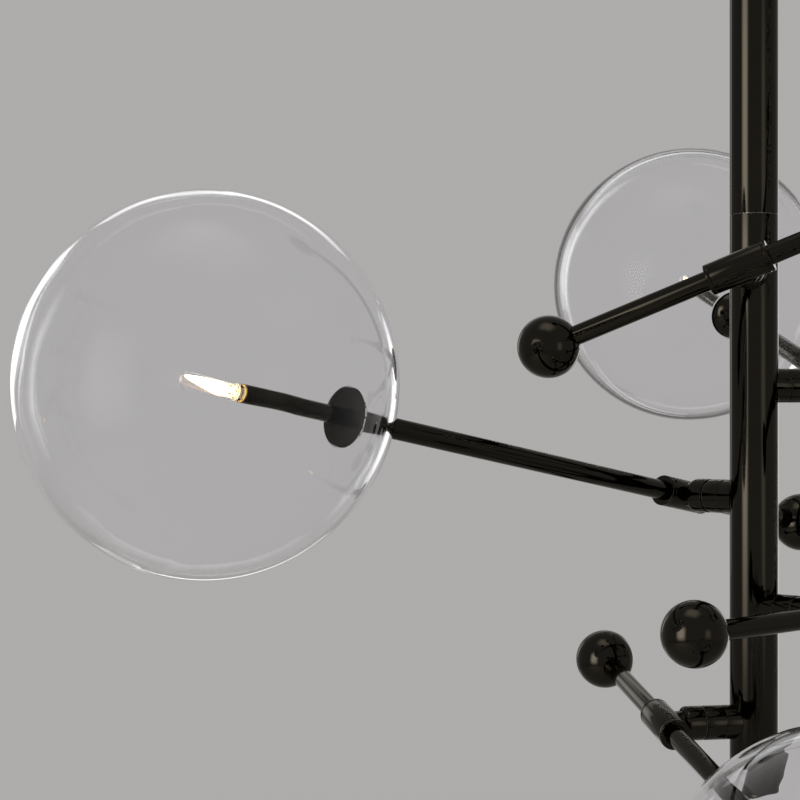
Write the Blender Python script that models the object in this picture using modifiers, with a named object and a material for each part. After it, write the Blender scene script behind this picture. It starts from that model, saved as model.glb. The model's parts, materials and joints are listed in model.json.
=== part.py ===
"""Globe chandelier: a hanging column with five tilting arms, each a glass globe and a ball.

The origin is on the column's axis at the ceiling, +Z up. A stub stands out of the column in
each row, a sleeve swivels on its end, and the sleeve holds a rod that points across the stub.
"""
import math

import bmesh
import bpy
from mathutils import Matrix

MM = 0.001

# Fits
CLEARANCE = 0.3 * MM
OVERRUN = 2 * MM

# Ceiling plate, canopy and what they hide
PLATE_THICKNESS = 3 * MM
HUB_RADIUS = 9 * MM
HUB_HEIGHT = 10 * MM
FIXING_HOLE_RADIUS = 2.2 * MM
FIXING_HOLE_EDGE = 9 * MM
WIRE_HOLE_RADIUS = 6 * MM
WIRE_HOLE_OFFSET = 30 * MM
CANOPY_RADIUS = 60 * MM
CANOPY_HEIGHT = 32 * MM
CANOPY_WALL = 1.5 * MM
CANOPY_CORNER = 3 * MM
NIPPLE_RADIUS = 5 * MM
NIPPLE_WALL = 1.5 * MM
NIPPLE_CABLE_HOLE_RADIUS = 2.2 * MM
DRIVER_LENGTH = 64 * MM
DRIVER_WIDTH = 26 * MM
DRIVER_HEIGHT = 20 * MM
DRIVER_OFFSET = 27 * MM
DRIVER_EDGE = 2 * MM
TERMINAL_LENGTH = 36 * MM
TERMINAL_WIDTH = 14 * MM
TERMINAL_HEIGHT = 14 * MM
TERMINAL_OFFSET = 24 * MM
TERMINAL_EDGE = 1 * MM
TERMINAL_HOLE_RADIUS = 2 * MM
TERMINAL_HOLE_DEPTH = 5 * MM
TERMINAL_WAYS = 3

# Stem and column
COLUMN_RADIUS = 15.5 * MM
COLUMN_WALL = 1.5 * MM
STEM_LENGTH = 400 * MM
PLUG_FLANGE = 3 * MM
PLUG_SPIGOT = 12 * MM
COUPLING_LENGTH = 40 * MM
COUPLING_WALL = 1.5 * MM
FIRST_ROW_DROP = 37.8 * MM
ROW_PITCH = 72 * MM
LAST_ROW_TO_END = 38 * MM
END_CAP_THICKNESS = 3 * MM
END_CAP_SPIGOT = 8 * MM

# Stub and hollow pivot bolt, measured outward from the column's axis
REACH = 60 * MM
STUB_RADIUS = 11 * MM
STUB_END = 34.5 * MM
THRUST_FACE_RADIUS = 9.5 * MM
THRUST_FACE_HEIGHT = 1.1 * MM
SPIGOT_RADIUS = 7 * MM
SPIGOT_INSIDE = 1.5 * MM
BOLT_RADIUS = 3.6 * MM
BOLT_BORE = 2 * MM
BOLT_HEAD_RADIUS = 5.5 * MM
BOLT_HEAD_HEIGHT = 3.5 * MM
BOLT_GRIP = 16.5 * MM

# Swivel sleeve
SLEEVE_RADIUS = 10 * MM
SLEEVE_LENGTH = 41 * MM
NECK_LENGTH = 10.1 * MM
NECK_SHOULDER = 3 * MM
NECK_FLOOR = 13.2 * MM

# Rod and counterweight ball, measured along the rod from the pivot
ROD_RADIUS = 6.35 * MM
ROD_WALL = 1.5 * MM
ROD_CABLE_HOLE_RADIUS = 2.5 * MM
BALL_RADIUS = 20 * MM
BALL_DISTANCE = 130 * MM
BALL_BORE_DEPTH = 14 * MM

# Globe and lamp, measured along the rod from the globe's centre
LONG_ARM = 400 * MM
SHORT_ARM = 300 * MM
GLOBE_ACROSS = 106 * MM
GLOBE_ALONG = 104 * MM
GLOBE_SIDE_WALL = 3.5 * MM
GLOBE_FAR_WALL = 4.5 * MM
GLOBE_MOUTH_WALL = 3 * MM
HOLDER_RADIUS = 18 * MM
HOLDER_DISTANCE = 99.4 * MM
HOLDER_DEPTH = 12.7 * MM
HOLDER_BEVEL = 0.8 * MM
ROD_END_DISTANCE = 103 * MM
TUBE_RADIUS = 5.15 * MM
TUBE_WALL = 1 * MM
TUBE_END_DISTANCE = 23 * MM
SOCKET_LENGTH = 15 * MM
SOCKET_HOLE_DEPTH = 8 * MM
BULB_RADIUS = 4.75 * MM
BULB_END_DISTANCE = 17 * MM
BULB_SHOULDER = 1.5 * MM
BULB_BASE_RADIUS = 2.8 * MM

# Arms from top to bottom: name, direction of the stub, tilt of the rod, globe's distance
ARMS = (
    ("arm_1", -18, 21.5, LONG_ARM),
    ("arm_2", 102, 16, SHORT_ARM),
    ("arm_3", 222, 10, LONG_ARM),
    ("arm_4", 42, 1, SHORT_ARM),
    ("arm_5", 282, -12, SHORT_ARM),
)

# Facets round a turn, and rings along a profile's arc
GLOBE_SIDES = 24
GLOBE_RINGS = 8
BALL_SIDES = 16
BALL_RINGS = 7
HOLDER_RINGS = 3
COLUMN_SIDES = 24
FITTING_SIDES = 16
BORE_SIDES = 12
LAMP_SIDES = 10
CORNER_RINGS = 2
SMOOTH_ANGLE = math.radians(35)

# Places that follow from the sizes above
CANOPY_BOTTOM = -CANOPY_HEIGHT
PLUG_TOP = CANOPY_BOTTOM - CLEARANCE
STEM_TOP = PLUG_TOP - PLUG_FLANGE - CLEARANCE
STEM_BOTTOM = STEM_TOP - STEM_LENGTH
COLUMN_TOP = STEM_BOTTOM - CLEARANCE
FIRST_ROW = COLUMN_TOP - FIRST_ROW_DROP
COLUMN_BOTTOM = FIRST_ROW - (len(ARMS) - 1) * ROW_PITCH - LAST_ROW_TO_END
INSERT_RADIUS = COLUMN_RADIUS - COLUMN_WALL - CLEARANCE
NIPPLE_BORE = NIPPLE_RADIUS + CLEARANCE
BOLT_HOLE = BOLT_RADIUS + CLEARANCE
ROD_BORE = ROD_RADIUS + CLEARANCE
TUBE_BORE = TUBE_RADIUS + CLEARANCE
NECK_FACE = STUB_END + THRUST_FACE_HEIGHT + CLEARANCE
HEAD_SEAT = NECK_FACE + NECK_FLOOR
MOUTH_RADIUS = HOLDER_RADIUS + CLEARANCE

# Turning a shape made along +Z to lie along another axis
ALONG_X = Matrix.Rotation(math.radians(90), 4, "Y")
ALONG_Y = Matrix.Rotation(math.radians(-90), 4, "X")
ALONG_MINUS_Y = Matrix.Rotation(math.radians(90), 4, "X")
HALF_FACET = Matrix.Rotation(math.radians(180) / LAMP_SIDES, 4, "Z")


def clear_scene():
    for scene_object in list(bpy.data.objects):
        bpy.data.objects.remove(scene_object, do_unlink=True)
    for collection in list(bpy.data.collections):
        bpy.data.collections.remove(collection)


def make_collection(name):
    collection = bpy.data.collections.new(name)
    bpy.context.scene.collection.children.link(collection)
    return collection


def make_material(name, colour, roughness, metallic, transmission=0.0, emission=0.0):
    material = bpy.data.materials.new(name)
    material.use_nodes = True
    shader = material.node_tree.nodes["Principled BSDF"]
    shader.inputs["Base Color"].default_value = (*colour, 1)
    shader.inputs["Roughness"].default_value = roughness
    shader.inputs["Metallic"].default_value = metallic
    shader.inputs["Transmission Weight"].default_value = transmission
    shader.inputs["Emission Color"].default_value = (*colour, 1)
    shader.inputs["Emission Strength"].default_value = emission
    return material


def arc(centre, across, along, first, last, rings):
    """Profile points on an ellipse, from angle first to last, measured from the axis's top."""
    points = []
    for ring in range(rings + 1):
        angle = first + (last - first) * ring / rings
        points.append((across * math.sin(angle), centre + along * math.cos(angle)))
    return points


def baked_mesh(source):
    """The mesh of an object with its modifiers applied; the object itself is removed."""
    bpy.context.view_layer.update()
    evaluated = source.evaluated_get(bpy.context.evaluated_depsgraph_get())
    mesh = bpy.data.meshes.new_from_object(evaluated)
    bpy.data.objects.remove(source, do_unlink=True)
    return mesh


def scratch_object(mesh):
    """A passing object, on which modifiers can be tried and baked."""
    scratch = bpy.data.objects.new("scratch", mesh)
    bpy.context.scene.collection.objects.link(scratch)
    return scratch


def turned(outline, sides, is_ring=False, along=None):
    """Turn an outline of (radius, height) points, top to bottom on its outer side, about Z."""
    mesh = bpy.data.meshes.new("outline")
    edges = [(index, index + 1) for index in range(len(outline) - 1)]
    if is_ring:
        edges.append((len(outline) - 1, 0))
    mesh.from_pydata([(radius, 0, height) for radius, height in outline], edges, [])
    scratch = scratch_object(mesh)
    screw = scratch.modifiers.new("Turn", "SCREW")
    screw.steps = sides
    screw.render_steps = sides
    screw.use_merge_vertices = True
    screw.merge_threshold = CLEARANCE / 30
    shape = baked_mesh(scratch)
    if along:
        shape.transform(along)
    return shape


def tube(outer, inner, top, bottom, sides, along=None):
    """A straight tube between two heights."""
    outline = [(outer, top), (outer, bottom), (inner, bottom), (inner, top)]
    return turned(outline, sides, is_ring=True, along=along)


def rod(radius, top, bottom, sides, along=None):
    """A solid cylinder between two heights."""
    return turned([(0, top), (radius, top), (radius, bottom), (0, bottom)], sides, along=along)


def box(length, width, height, edge):
    """A box centred on the origin with bevelled edges."""
    mesh = bpy.data.meshes.new("box")
    cube = bmesh.new()
    bmesh.ops.create_cube(cube, size=1)
    bmesh.ops.scale(cube, vec=(length, width, height), verts=cube.verts)
    cube.to_mesh(mesh)
    cube.free()
    scratch = scratch_object(mesh)
    bevel = scratch.modifiers.new("Edges", "BEVEL")
    bevel.width = edge
    bevel.segments = 1
    return baked_mesh(scratch)


def combine(mesh, other, operation, shift=(0, 0, 0)):
    """Cut other out of a mesh, or join it on, with other moved by shift."""
    base = scratch_object(mesh)
    tool = scratch_object(other)
    tool.location = shift
    boolean = base.modifiers.new("Combine", "BOOLEAN")
    boolean.operation = operation
    boolean.object = tool
    result = baked_mesh(base)
    bpy.data.objects.remove(tool, do_unlink=True)
    return result


def cut(mesh, other, shift=(0, 0, 0)):
    return combine(mesh, other, "DIFFERENCE", shift)


def joined(mesh, other):
    return combine(mesh, other, "UNION")


def place(name, mesh, material, parent=None, location=(0, 0, 0), turn=None):
    """Put a finished mesh in the scene as a named part."""
    mesh.materials.clear()
    mesh.materials.append(material)
    mesh.shade_smooth()
    mesh.set_sharp_from_angle(angle=SMOOTH_ANGLE)
    part = bpy.data.objects.new(name, mesh)
    part.location = location
    if turn:
        part.rotation_euler = turn.to_euler()
    part.parent = parent
    bpy.data.collections["globe_chandelier"].objects.link(part)
    return part


def make_frame(name, parent, location, rotation):
    """An empty that carries the pieces of one arm."""
    frame = bpy.data.objects.new(name, None)
    frame.location = location
    frame.rotation_euler = rotation
    frame.parent = parent
    bpy.data.collections["globe_chandelier"].objects.link(frame)
    return frame


def ceiling_plate_mesh():
    """A disc with a hub below that holds the nipple, two fixing holes and a hole for the wires."""
    plate_radius = CANOPY_RADIUS - CANOPY_WALL - CLEARANCE
    hub_bottom = -PLATE_THICKNESS - HUB_HEIGHT
    outline = [
        (0, 0),
        (plate_radius, 0),
        (plate_radius, -PLATE_THICKNESS),
        (HUB_RADIUS, -PLATE_THICKNESS),
        (HUB_RADIUS, hub_bottom),
        (NIPPLE_BORE, hub_bottom),
        (NIPPLE_BORE, -PLATE_THICKNESS),
        (0, -PLATE_THICKNESS),
    ]
    plate = turned(outline, COLUMN_SIDES)
    underside = -PLATE_THICKNESS - OVERRUN
    fixing_cutter = rod(FIXING_HOLE_RADIUS, OVERRUN, underside, LAMP_SIDES, HALF_FACET)
    for side in (-1, 1):
        place_of_hole = side * (plate_radius - FIXING_HOLE_EDGE)
        plate = cut(plate, fixing_cutter, (place_of_hole, 0, 0))
    wire_cutter = rod(WIRE_HOLE_RADIUS, OVERRUN, underside, LAMP_SIDES, HALF_FACET)
    return cut(plate, wire_cutter, (WIRE_HOLE_OFFSET, 0, 0))


def canopy_mesh():
    """A cup, open to the ceiling, with a hole in its floor for the nipple."""
    outer_corner = CANOPY_RADIUS - CANOPY_CORNER
    corner_height = CANOPY_BOTTOM + CANOPY_CORNER
    inner_corner = CANOPY_CORNER - CANOPY_WALL
    quarter = math.radians(90)
    half = math.radians(180)
    outline = [(CANOPY_RADIUS, 0)]
    for radius, height in arc(corner_height, CANOPY_CORNER, CANOPY_CORNER, quarter, half, CORNER_RINGS):
        outline.append((outer_corner + radius, height))
    outline.append((NIPPLE_BORE, CANOPY_BOTTOM))
    outline.append((NIPPLE_BORE, CANOPY_BOTTOM + CANOPY_WALL))
    for radius, height in arc(corner_height, inner_corner, inner_corner, half, quarter, CORNER_RINGS):
        outline.append((outer_corner + radius, height))
    outline.append((CANOPY_RADIUS - CANOPY_WALL, 0))
    return turned(outline, COLUMN_SIDES, is_ring=True)


def hanger_nipple_mesh():
    """The threaded tube that carries everything, with a side hole for the cables."""
    top = -PLATE_THICKNESS - CLEARANCE
    bottom = STEM_TOP - PLUG_SPIGOT
    nipple = tube(NIPPLE_RADIUS, NIPPLE_RADIUS - NIPPLE_WALL, top, bottom, BORE_SIDES)
    hub_bottom = -PLATE_THICKNESS - HUB_HEIGHT
    hole_height = (hub_bottom + CANOPY_BOTTOM + CANOPY_WALL) / 2
    cutter = rod(NIPPLE_CABLE_HOLE_RADIUS, NIPPLE_RADIUS + OVERRUN, 0, LAMP_SIDES, ALONG_X)
    return cut(nipple, cutter, (0, 0, hole_height))


def stem_plug_mesh():
    """A flanged plug in the stem's top end, threaded for the nipple."""
    outline = [
        (NIPPLE_BORE, PLUG_TOP),
        (COLUMN_RADIUS, PLUG_TOP),
        (COLUMN_RADIUS, PLUG_TOP - PLUG_FLANGE),
        (INSERT_RADIUS, PLUG_TOP - PLUG_FLANGE),
        (INSERT_RADIUS, STEM_TOP - PLUG_SPIGOT),
        (NIPPLE_BORE, STEM_TOP - PLUG_SPIGOT),
    ]
    return turned(outline, COLUMN_SIDES, is_ring=True)


def driver_mesh():
    return box(DRIVER_LENGTH, DRIVER_WIDTH, DRIVER_HEIGHT, DRIVER_EDGE)


def terminal_block_mesh():
    """A block with a row of blind wire holes in its inner face."""
    block = box(TERMINAL_LENGTH, TERMINAL_WIDTH, TERMINAL_HEIGHT, TERMINAL_EDGE)
    face = TERMINAL_WIDTH / 2
    cutter = rod(TERMINAL_HOLE_RADIUS, face + OVERRUN, face - TERMINAL_HOLE_DEPTH, LAMP_SIDES, ALONG_Y)
    pitch = TERMINAL_LENGTH / TERMINAL_WAYS
    for way in range(TERMINAL_WAYS):
        offset = (way - (TERMINAL_WAYS - 1) / 2) * pitch
        block = cut(block, cutter, (offset, 0, 0))
    return block


def column_mesh():
    """The column, with a hole in its wall for each stub's spigot."""
    bore = COLUMN_RADIUS - COLUMN_WALL
    column = tube(COLUMN_RADIUS, bore, COLUMN_TOP, COLUMN_BOTTOM, COLUMN_SIDES)
    for row, (_, direction, _, _) in enumerate(ARMS):
        towards_stub = Matrix.Rotation(math.radians(direction), 4, "Z") @ ALONG_MINUS_Y
        cutter = rod(SPIGOT_RADIUS + CLEARANCE, COLUMN_RADIUS + OVERRUN, 0, BORE_SIDES, towards_stub)
        column = cut(column, cutter, (0, 0, FIRST_ROW - row * ROW_PITCH))
    return column


def end_cap_mesh():
    """A flat cap with a spigot in the column's bottom end."""
    face = COLUMN_BOTTOM - CLEARANCE
    outline = [
        (0, COLUMN_BOTTOM + END_CAP_SPIGOT),
        (INSERT_RADIUS, COLUMN_BOTTOM + END_CAP_SPIGOT),
        (INSERT_RADIUS, face),
        (COLUMN_RADIUS, face),
        (COLUMN_RADIUS, face - END_CAP_THICKNESS),
        (0, face - END_CAP_THICKNESS),
    ]
    return turned(outline, COLUMN_SIDES)


def stub_mesh():
    """The fixed stub along +Z: a saddle on the column, a spigot through its wall, a thrust face."""
    thrust_top = STUB_END + THRUST_FACE_HEIGHT
    outline = [
        (0, thrust_top),
        (THRUST_FACE_RADIUS, thrust_top),
        (THRUST_FACE_RADIUS, STUB_END),
        (STUB_RADIUS, STUB_END),
        (STUB_RADIUS, 0),
        (0, 0),
    ]
    body = turned(outline, FITTING_SIDES)
    saddle = rod(COLUMN_RADIUS + CLEARANCE, STUB_RADIUS + OVERRUN, -STUB_RADIUS - OVERRUN, COLUMN_SIDES, ALONG_Y)
    body = cut(body, saddle)
    spigot_end = COLUMN_RADIUS - COLUMN_WALL - SPIGOT_INSIDE
    body = joined(body, rod(SPIGOT_RADIUS, COLUMN_RADIUS + OVERRUN, spigot_end, BORE_SIDES))
    bore = rod(BOLT_HOLE, thrust_top + OVERRUN, 0, BORE_SIDES)
    return cut(body, bore)


def pivot_bolt_mesh():
    """The hollow bolt along +Z that holds the sleeve to the stub and lets the cable through."""
    seat = HEAD_SEAT + CLEARANCE
    outline = [
        (BOLT_BORE, seat + BOLT_HEAD_HEIGHT),
        (BOLT_HEAD_RADIUS, seat + BOLT_HEAD_HEIGHT),
        (BOLT_HEAD_RADIUS, seat),
        (BOLT_RADIUS, seat),
        (BOLT_RADIUS, STUB_END - BOLT_GRIP),
        (BOLT_BORE, STUB_END - BOLT_GRIP),
    ]
    return turned(outline, BORE_SIDES, is_ring=True)


def sleeve_mesh():
    """The swivel sleeve: a tube along +Z round the rod and a neck along +Y to the stub."""
    neck_face = REACH - NECK_FACE
    shoulder = neck_face - NECK_LENGTH
    quarter = math.radians(90)
    outline = [(0, neck_face), (STUB_RADIUS, neck_face)]
    for radius, height in arc(shoulder, NECK_SHOULDER, NECK_SHOULDER, quarter, 2 * quarter, CORNER_RINGS):
        outline.append((STUB_RADIUS - NECK_SHOULDER + radius, height))
    outline.append((STUB_RADIUS - NECK_SHOULDER, 0))
    outline.append((0, 0))
    neck = turned(outline, FITTING_SIDES, along=ALONG_Y)
    half_length = SLEEVE_LENGTH / 2
    sleeve = joined(rod(SLEEVE_RADIUS, half_length, -half_length, FITTING_SIDES), neck)
    sleeve = cut(sleeve, rod(ROD_BORE, half_length + OVERRUN, -half_length - OVERRUN, BORE_SIDES))
    head_pocket = rod(BOLT_HEAD_RADIUS + CLEARANCE, REACH - HEAD_SEAT, 0, BORE_SIDES, ALONG_Y)
    sleeve = cut(sleeve, head_pocket)
    return cut(sleeve, rod(BOLT_HOLE, neck_face + OVERRUN, 0, BORE_SIDES, ALONG_Y))


def arm_rod_mesh(globe_distance):
    """The rod along +Z from the ball to the globe, with a cable hole that faces the bolt."""
    top = globe_distance - ROD_END_DISTANCE
    bottom = BALL_RADIUS - BALL_DISTANCE - BALL_BORE_DEPTH + CLEARANCE
    shape = tube(ROD_RADIUS, ROD_RADIUS - ROD_WALL, top, bottom, BORE_SIDES)
    cutter = rod(ROD_CABLE_HOLE_RADIUS, ROD_RADIUS + OVERRUN, 0, LAMP_SIDES, ALONG_Y)
    return cut(shape, cutter)


def counterweight_mesh():
    """The ball, with a blind bore for the rod's end."""
    centre = -BALL_DISTANCE
    bore_floor = centre + BALL_RADIUS - BALL_BORE_DEPTH
    first = math.asin(ROD_BORE / BALL_RADIUS)
    outline = [(0, bore_floor), (ROD_BORE, bore_floor)]
    outline += arc(centre, BALL_RADIUS, BALL_RADIUS, first, math.radians(180), BALL_RINGS)
    return turned(outline, BALL_SIDES)


def globe_holder_mesh():
    """The dome in the globe's mouth: a rod socket in its back and a bore for the lamp tube."""
    face = -HOLDER_DISTANCE
    socket_floor = CLEARANCE - ROD_END_DISTANCE
    first = math.acos(-HOLDER_BEVEL / HOLDER_DEPTH)
    last = math.radians(180) - math.asin(ROD_BORE / HOLDER_RADIUS)
    outline = [(TUBE_BORE, face), (HOLDER_RADIUS - HOLDER_BEVEL, face)]
    outline += arc(face, HOLDER_RADIUS, HOLDER_DEPTH, first, last, HOLDER_RINGS)
    outline += [(ROD_BORE, socket_floor), (TUBE_BORE, socket_floor)]
    return turned(outline, FITTING_SIDES, is_ring=True)


def lamp_tube_mesh():
    bottom = 2 * CLEARANCE - ROD_END_DISTANCE
    return tube(TUBE_RADIUS, TUBE_RADIUS - TUBE_WALL, -TUBE_END_DISTANCE, bottom, LAMP_SIDES)


def lamp_socket_mesh():
    """The ceramic insert in the tube's end, with a blind hole for the bulb's base."""
    radius = TUBE_RADIUS - TUBE_WALL - CLEARANCE
    top = -TUBE_END_DISTANCE
    floor = top - SOCKET_HOLE_DEPTH
    hole = BULB_BASE_RADIUS + CLEARANCE
    outline = [
        (0, floor),
        (hole, floor),
        (hole, top),
        (radius, top),
        (radius, top - SOCKET_LENGTH),
        (0, top - SOCKET_LENGTH),
    ]
    return turned(outline, LAMP_SIDES)


def bulb_mesh():
    """A capsule bulb on a base that goes into the socket."""
    shoulder = CLEARANCE - TUBE_END_DISTANCE
    tip_centre = BULB_END_DISTANCE - BULB_RADIUS
    quarter = math.radians(90)
    outline = arc(tip_centre, BULB_RADIUS, BULB_RADIUS, 0, quarter, CORNER_RINGS)
    outline += [
        (BULB_RADIUS, shoulder + BULB_SHOULDER),
        (BULB_RADIUS - BULB_SHOULDER, shoulder),
        (BULB_BASE_RADIUS, shoulder),
        (BULB_BASE_RADIUS, shoulder - SOCKET_HOLE_DEPTH),
        (0, shoulder - SOCKET_HOLE_DEPTH),
    ]
    return turned(outline, LAMP_SIDES)


def globe_mesh():
    """The blown globe, thinnest round its middle, with a mouth that fits the holder."""
    far_inside = GLOBE_ALONG - GLOBE_FAR_WALL
    mouth_inside = GLOBE_MOUTH_WALL - GLOBE_ALONG
    inside_along = (far_inside - mouth_inside) / 2
    inside_centre = (far_inside + mouth_inside) / 2
    inside_across = GLOBE_ACROSS - GLOBE_SIDE_WALL
    outer_mouth = math.radians(180) - math.asin(MOUTH_RADIUS / GLOBE_ACROSS)
    inner_mouth = math.radians(180) - math.asin(MOUTH_RADIUS / inside_across)
    outline = arc(0, GLOBE_ACROSS, GLOBE_ALONG, 0, outer_mouth, GLOBE_RINGS)
    outline += arc(inside_centre, inside_across, inside_along, inner_mouth, 0, GLOBE_RINGS)
    return turned(outline, GLOBE_SIDES)


def make_core(dark_metal, steel, plastic):
    """The pieces from the ceiling to the column's end that never move."""
    stem_bore = COLUMN_RADIUS - COLUMN_WALL
    stem = tube(COLUMN_RADIUS, stem_bore, STEM_TOP, STEM_BOTTOM, COLUMN_SIDES)
    coupling_top = (STEM_BOTTOM + COLUMN_TOP + COUPLING_LENGTH) / 2
    coupling_bottom = coupling_top - COUPLING_LENGTH
    coupling_bore = INSERT_RADIUS - COUPLING_WALL
    coupling = tube(INSERT_RADIUS, coupling_bore, coupling_top, coupling_bottom, COLUMN_SIDES)
    under_plate = -PLATE_THICKNESS - CLEARANCE
    driver_place = (0, DRIVER_OFFSET, under_plate - DRIVER_HEIGHT / 2)
    terminal_place = (0, -TERMINAL_OFFSET, under_plate - TERMINAL_HEIGHT / 2)
    place("ceiling_plate", ceiling_plate_mesh(), steel)
    place("canopy", canopy_mesh(), dark_metal)
    place("hanger_nipple", hanger_nipple_mesh(), steel)
    place("driver", driver_mesh(), plastic, location=driver_place)
    place("terminal_block", terminal_block_mesh(), plastic, location=terminal_place)
    place("stem_plug", stem_plug_mesh(), dark_metal)
    place("stem", stem, dark_metal)
    place("coupling", coupling, steel)
    place("column", column_mesh(), dark_metal)
    place("end_cap", end_cap_mesh(), dark_metal)


def make_arms(dark_metal, steel, ceramic, bulb_glass, clear_glass):
    """Five arms, which share their meshes apart from the rod, whose length differs."""
    stub = stub_mesh()
    pivot_bolt = pivot_bolt_mesh()
    sleeve = sleeve_mesh()
    counterweight = counterweight_mesh()
    rods = {distance: arm_rod_mesh(distance) for distance in (LONG_ARM, SHORT_ARM)}
    by_the_globe = (
        ("globe_holder", globe_holder_mesh(), dark_metal),
        ("lamp_tube", lamp_tube_mesh(), dark_metal),
        ("lamp_socket", lamp_socket_mesh(), ceramic),
        ("bulb", bulb_mesh(), bulb_glass),
        ("globe", globe_mesh(), clear_glass),
    )
    for row, (name, direction, tilt, globe_distance) in enumerate(ARMS):
        height = FIRST_ROW - row * ROW_PITCH
        station = make_frame(f"{name}_station", None, (0, 0, height), (0, 0, math.radians(direction)))
        pivot = make_frame(f"{name}_pivot", station, (0, -REACH, 0), (0, -math.radians(tilt), 0))
        place(f"{name}_stub", stub, dark_metal, station, turn=ALONG_MINUS_Y)
        place(f"{name}_pivot_bolt", pivot_bolt, steel, station, turn=ALONG_MINUS_Y)
        place(f"{name}_sleeve", sleeve, dark_metal, pivot, turn=ALONG_X)
        place(f"{name}_rod", rods[globe_distance], dark_metal, pivot, turn=ALONG_X)
        place(f"{name}_counterweight", counterweight, dark_metal, pivot, turn=ALONG_X)
        for piece, mesh, material in by_the_globe:
            place(f"{name}_{piece}", mesh, material, pivot, (globe_distance, 0, 0), ALONG_X)


def main():
    clear_scene()
    make_collection("globe_chandelier")
    dark_metal = make_material("dark_metal", (0.035, 0.032, 0.026), 0.12, 1.0)
    steel = make_material("steel", (0.55, 0.55, 0.55), 0.3, 1.0)
    plastic = make_material("plastic", (0.85, 0.85, 0.83), 0.45, 0.0)
    ceramic = make_material("ceramic", (0.9, 0.88, 0.82), 0.4, 0.0)
    bulb_glass = make_material("bulb_glass", (1.0, 0.86, 0.6), 0.2, 0.0, emission=4.0)
    clear_glass = make_material("clear_glass", (0.97, 0.98, 0.98), 0.02, 0.0, transmission=1.0)
    make_core(dark_metal, steel, plastic)
    make_arms(dark_metal, steel, ceramic, bulb_glass, clear_glass)


main()
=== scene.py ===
"""Globe chandelier: the finishes, fine shapes and stage of a column with five tilting lamp arms."""

import json
import math

import bmesh
import bpy
from bpy.props import FloatProperty, FloatVectorProperty, IntProperty, PointerProperty
from mathutils import Matrix, Vector, noise


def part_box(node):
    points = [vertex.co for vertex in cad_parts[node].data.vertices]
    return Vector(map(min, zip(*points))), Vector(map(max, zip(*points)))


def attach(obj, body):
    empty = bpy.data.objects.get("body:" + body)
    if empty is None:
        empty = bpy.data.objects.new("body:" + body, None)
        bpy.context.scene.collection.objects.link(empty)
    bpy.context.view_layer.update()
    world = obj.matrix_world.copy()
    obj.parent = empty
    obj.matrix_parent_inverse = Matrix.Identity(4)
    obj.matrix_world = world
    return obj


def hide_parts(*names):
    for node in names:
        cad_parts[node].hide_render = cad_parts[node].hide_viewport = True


bl_info = {
    "name": "Globe Chandelier",
    "version": (1, 0, 0),
    "blender": (4, 5, 0),
    "location": "View3D > Sidebar > Chandelier",
    "description": "Builds a hanging chandelier with blown globes on tilting arms",
    "category": "Add Mesh",
}

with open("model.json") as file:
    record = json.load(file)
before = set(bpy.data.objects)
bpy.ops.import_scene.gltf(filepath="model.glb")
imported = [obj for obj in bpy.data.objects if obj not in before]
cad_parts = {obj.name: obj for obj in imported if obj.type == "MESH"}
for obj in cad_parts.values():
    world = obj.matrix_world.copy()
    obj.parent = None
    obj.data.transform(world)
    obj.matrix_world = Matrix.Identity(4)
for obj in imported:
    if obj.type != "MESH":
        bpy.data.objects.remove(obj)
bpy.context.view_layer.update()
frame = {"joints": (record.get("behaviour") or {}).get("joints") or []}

MM = 0.001
QUARTER = math.radians(90)
HALF = math.radians(180)

# Sizes that the pieces share and that nobody would change alone
CLEARANCE = 0.3 * MM
OVERRUN = 2 * MM
NIPPLE_BORE = 5.3 * MM
SPIGOT_RADIUS = 7 * MM
CABLE_BORE = 3.9 * MM
GRUB_DISTANCE = 12 * MM
BALL_BORE_DEPTH = 14 * MM
LAMP_TUBE_WALL = 1 * MM
SOCKET_TOP = -23 * MM
SHARP_ANGLE = math.radians(40)

# The arms that the frame declares: how far the rod rises in degrees, and how far the globe's
# centre lies from the pivot
RODS = {
    "arm_1": (21.5, 400 * MM),
    "arm_2": (16, 300 * MM),
    "arm_3": (10, 400 * MM),
    "arm_4": (1, 300 * MM),
    "arm_5": (-12, 300 * MM),
}

ALONG_X = Matrix.Rotation(QUARTER, 4, "Y")
ALONG_Y = Matrix.Rotation(-QUARTER, 4, "X")
ALONG_MINUS_Y = Matrix.Rotation(QUARTER, 4, "X")


def length(name, default, description):
    """A size property in metres."""
    return FloatProperty(
        name=name, default=default, min=0, unit="LENGTH", precision=4, description=description)


def colour(name, default, description):
    """A colour property."""
    return FloatVectorProperty(
        name=name, default=default, size=3, min=0, max=1, subtype="COLOR", description=description)


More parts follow.
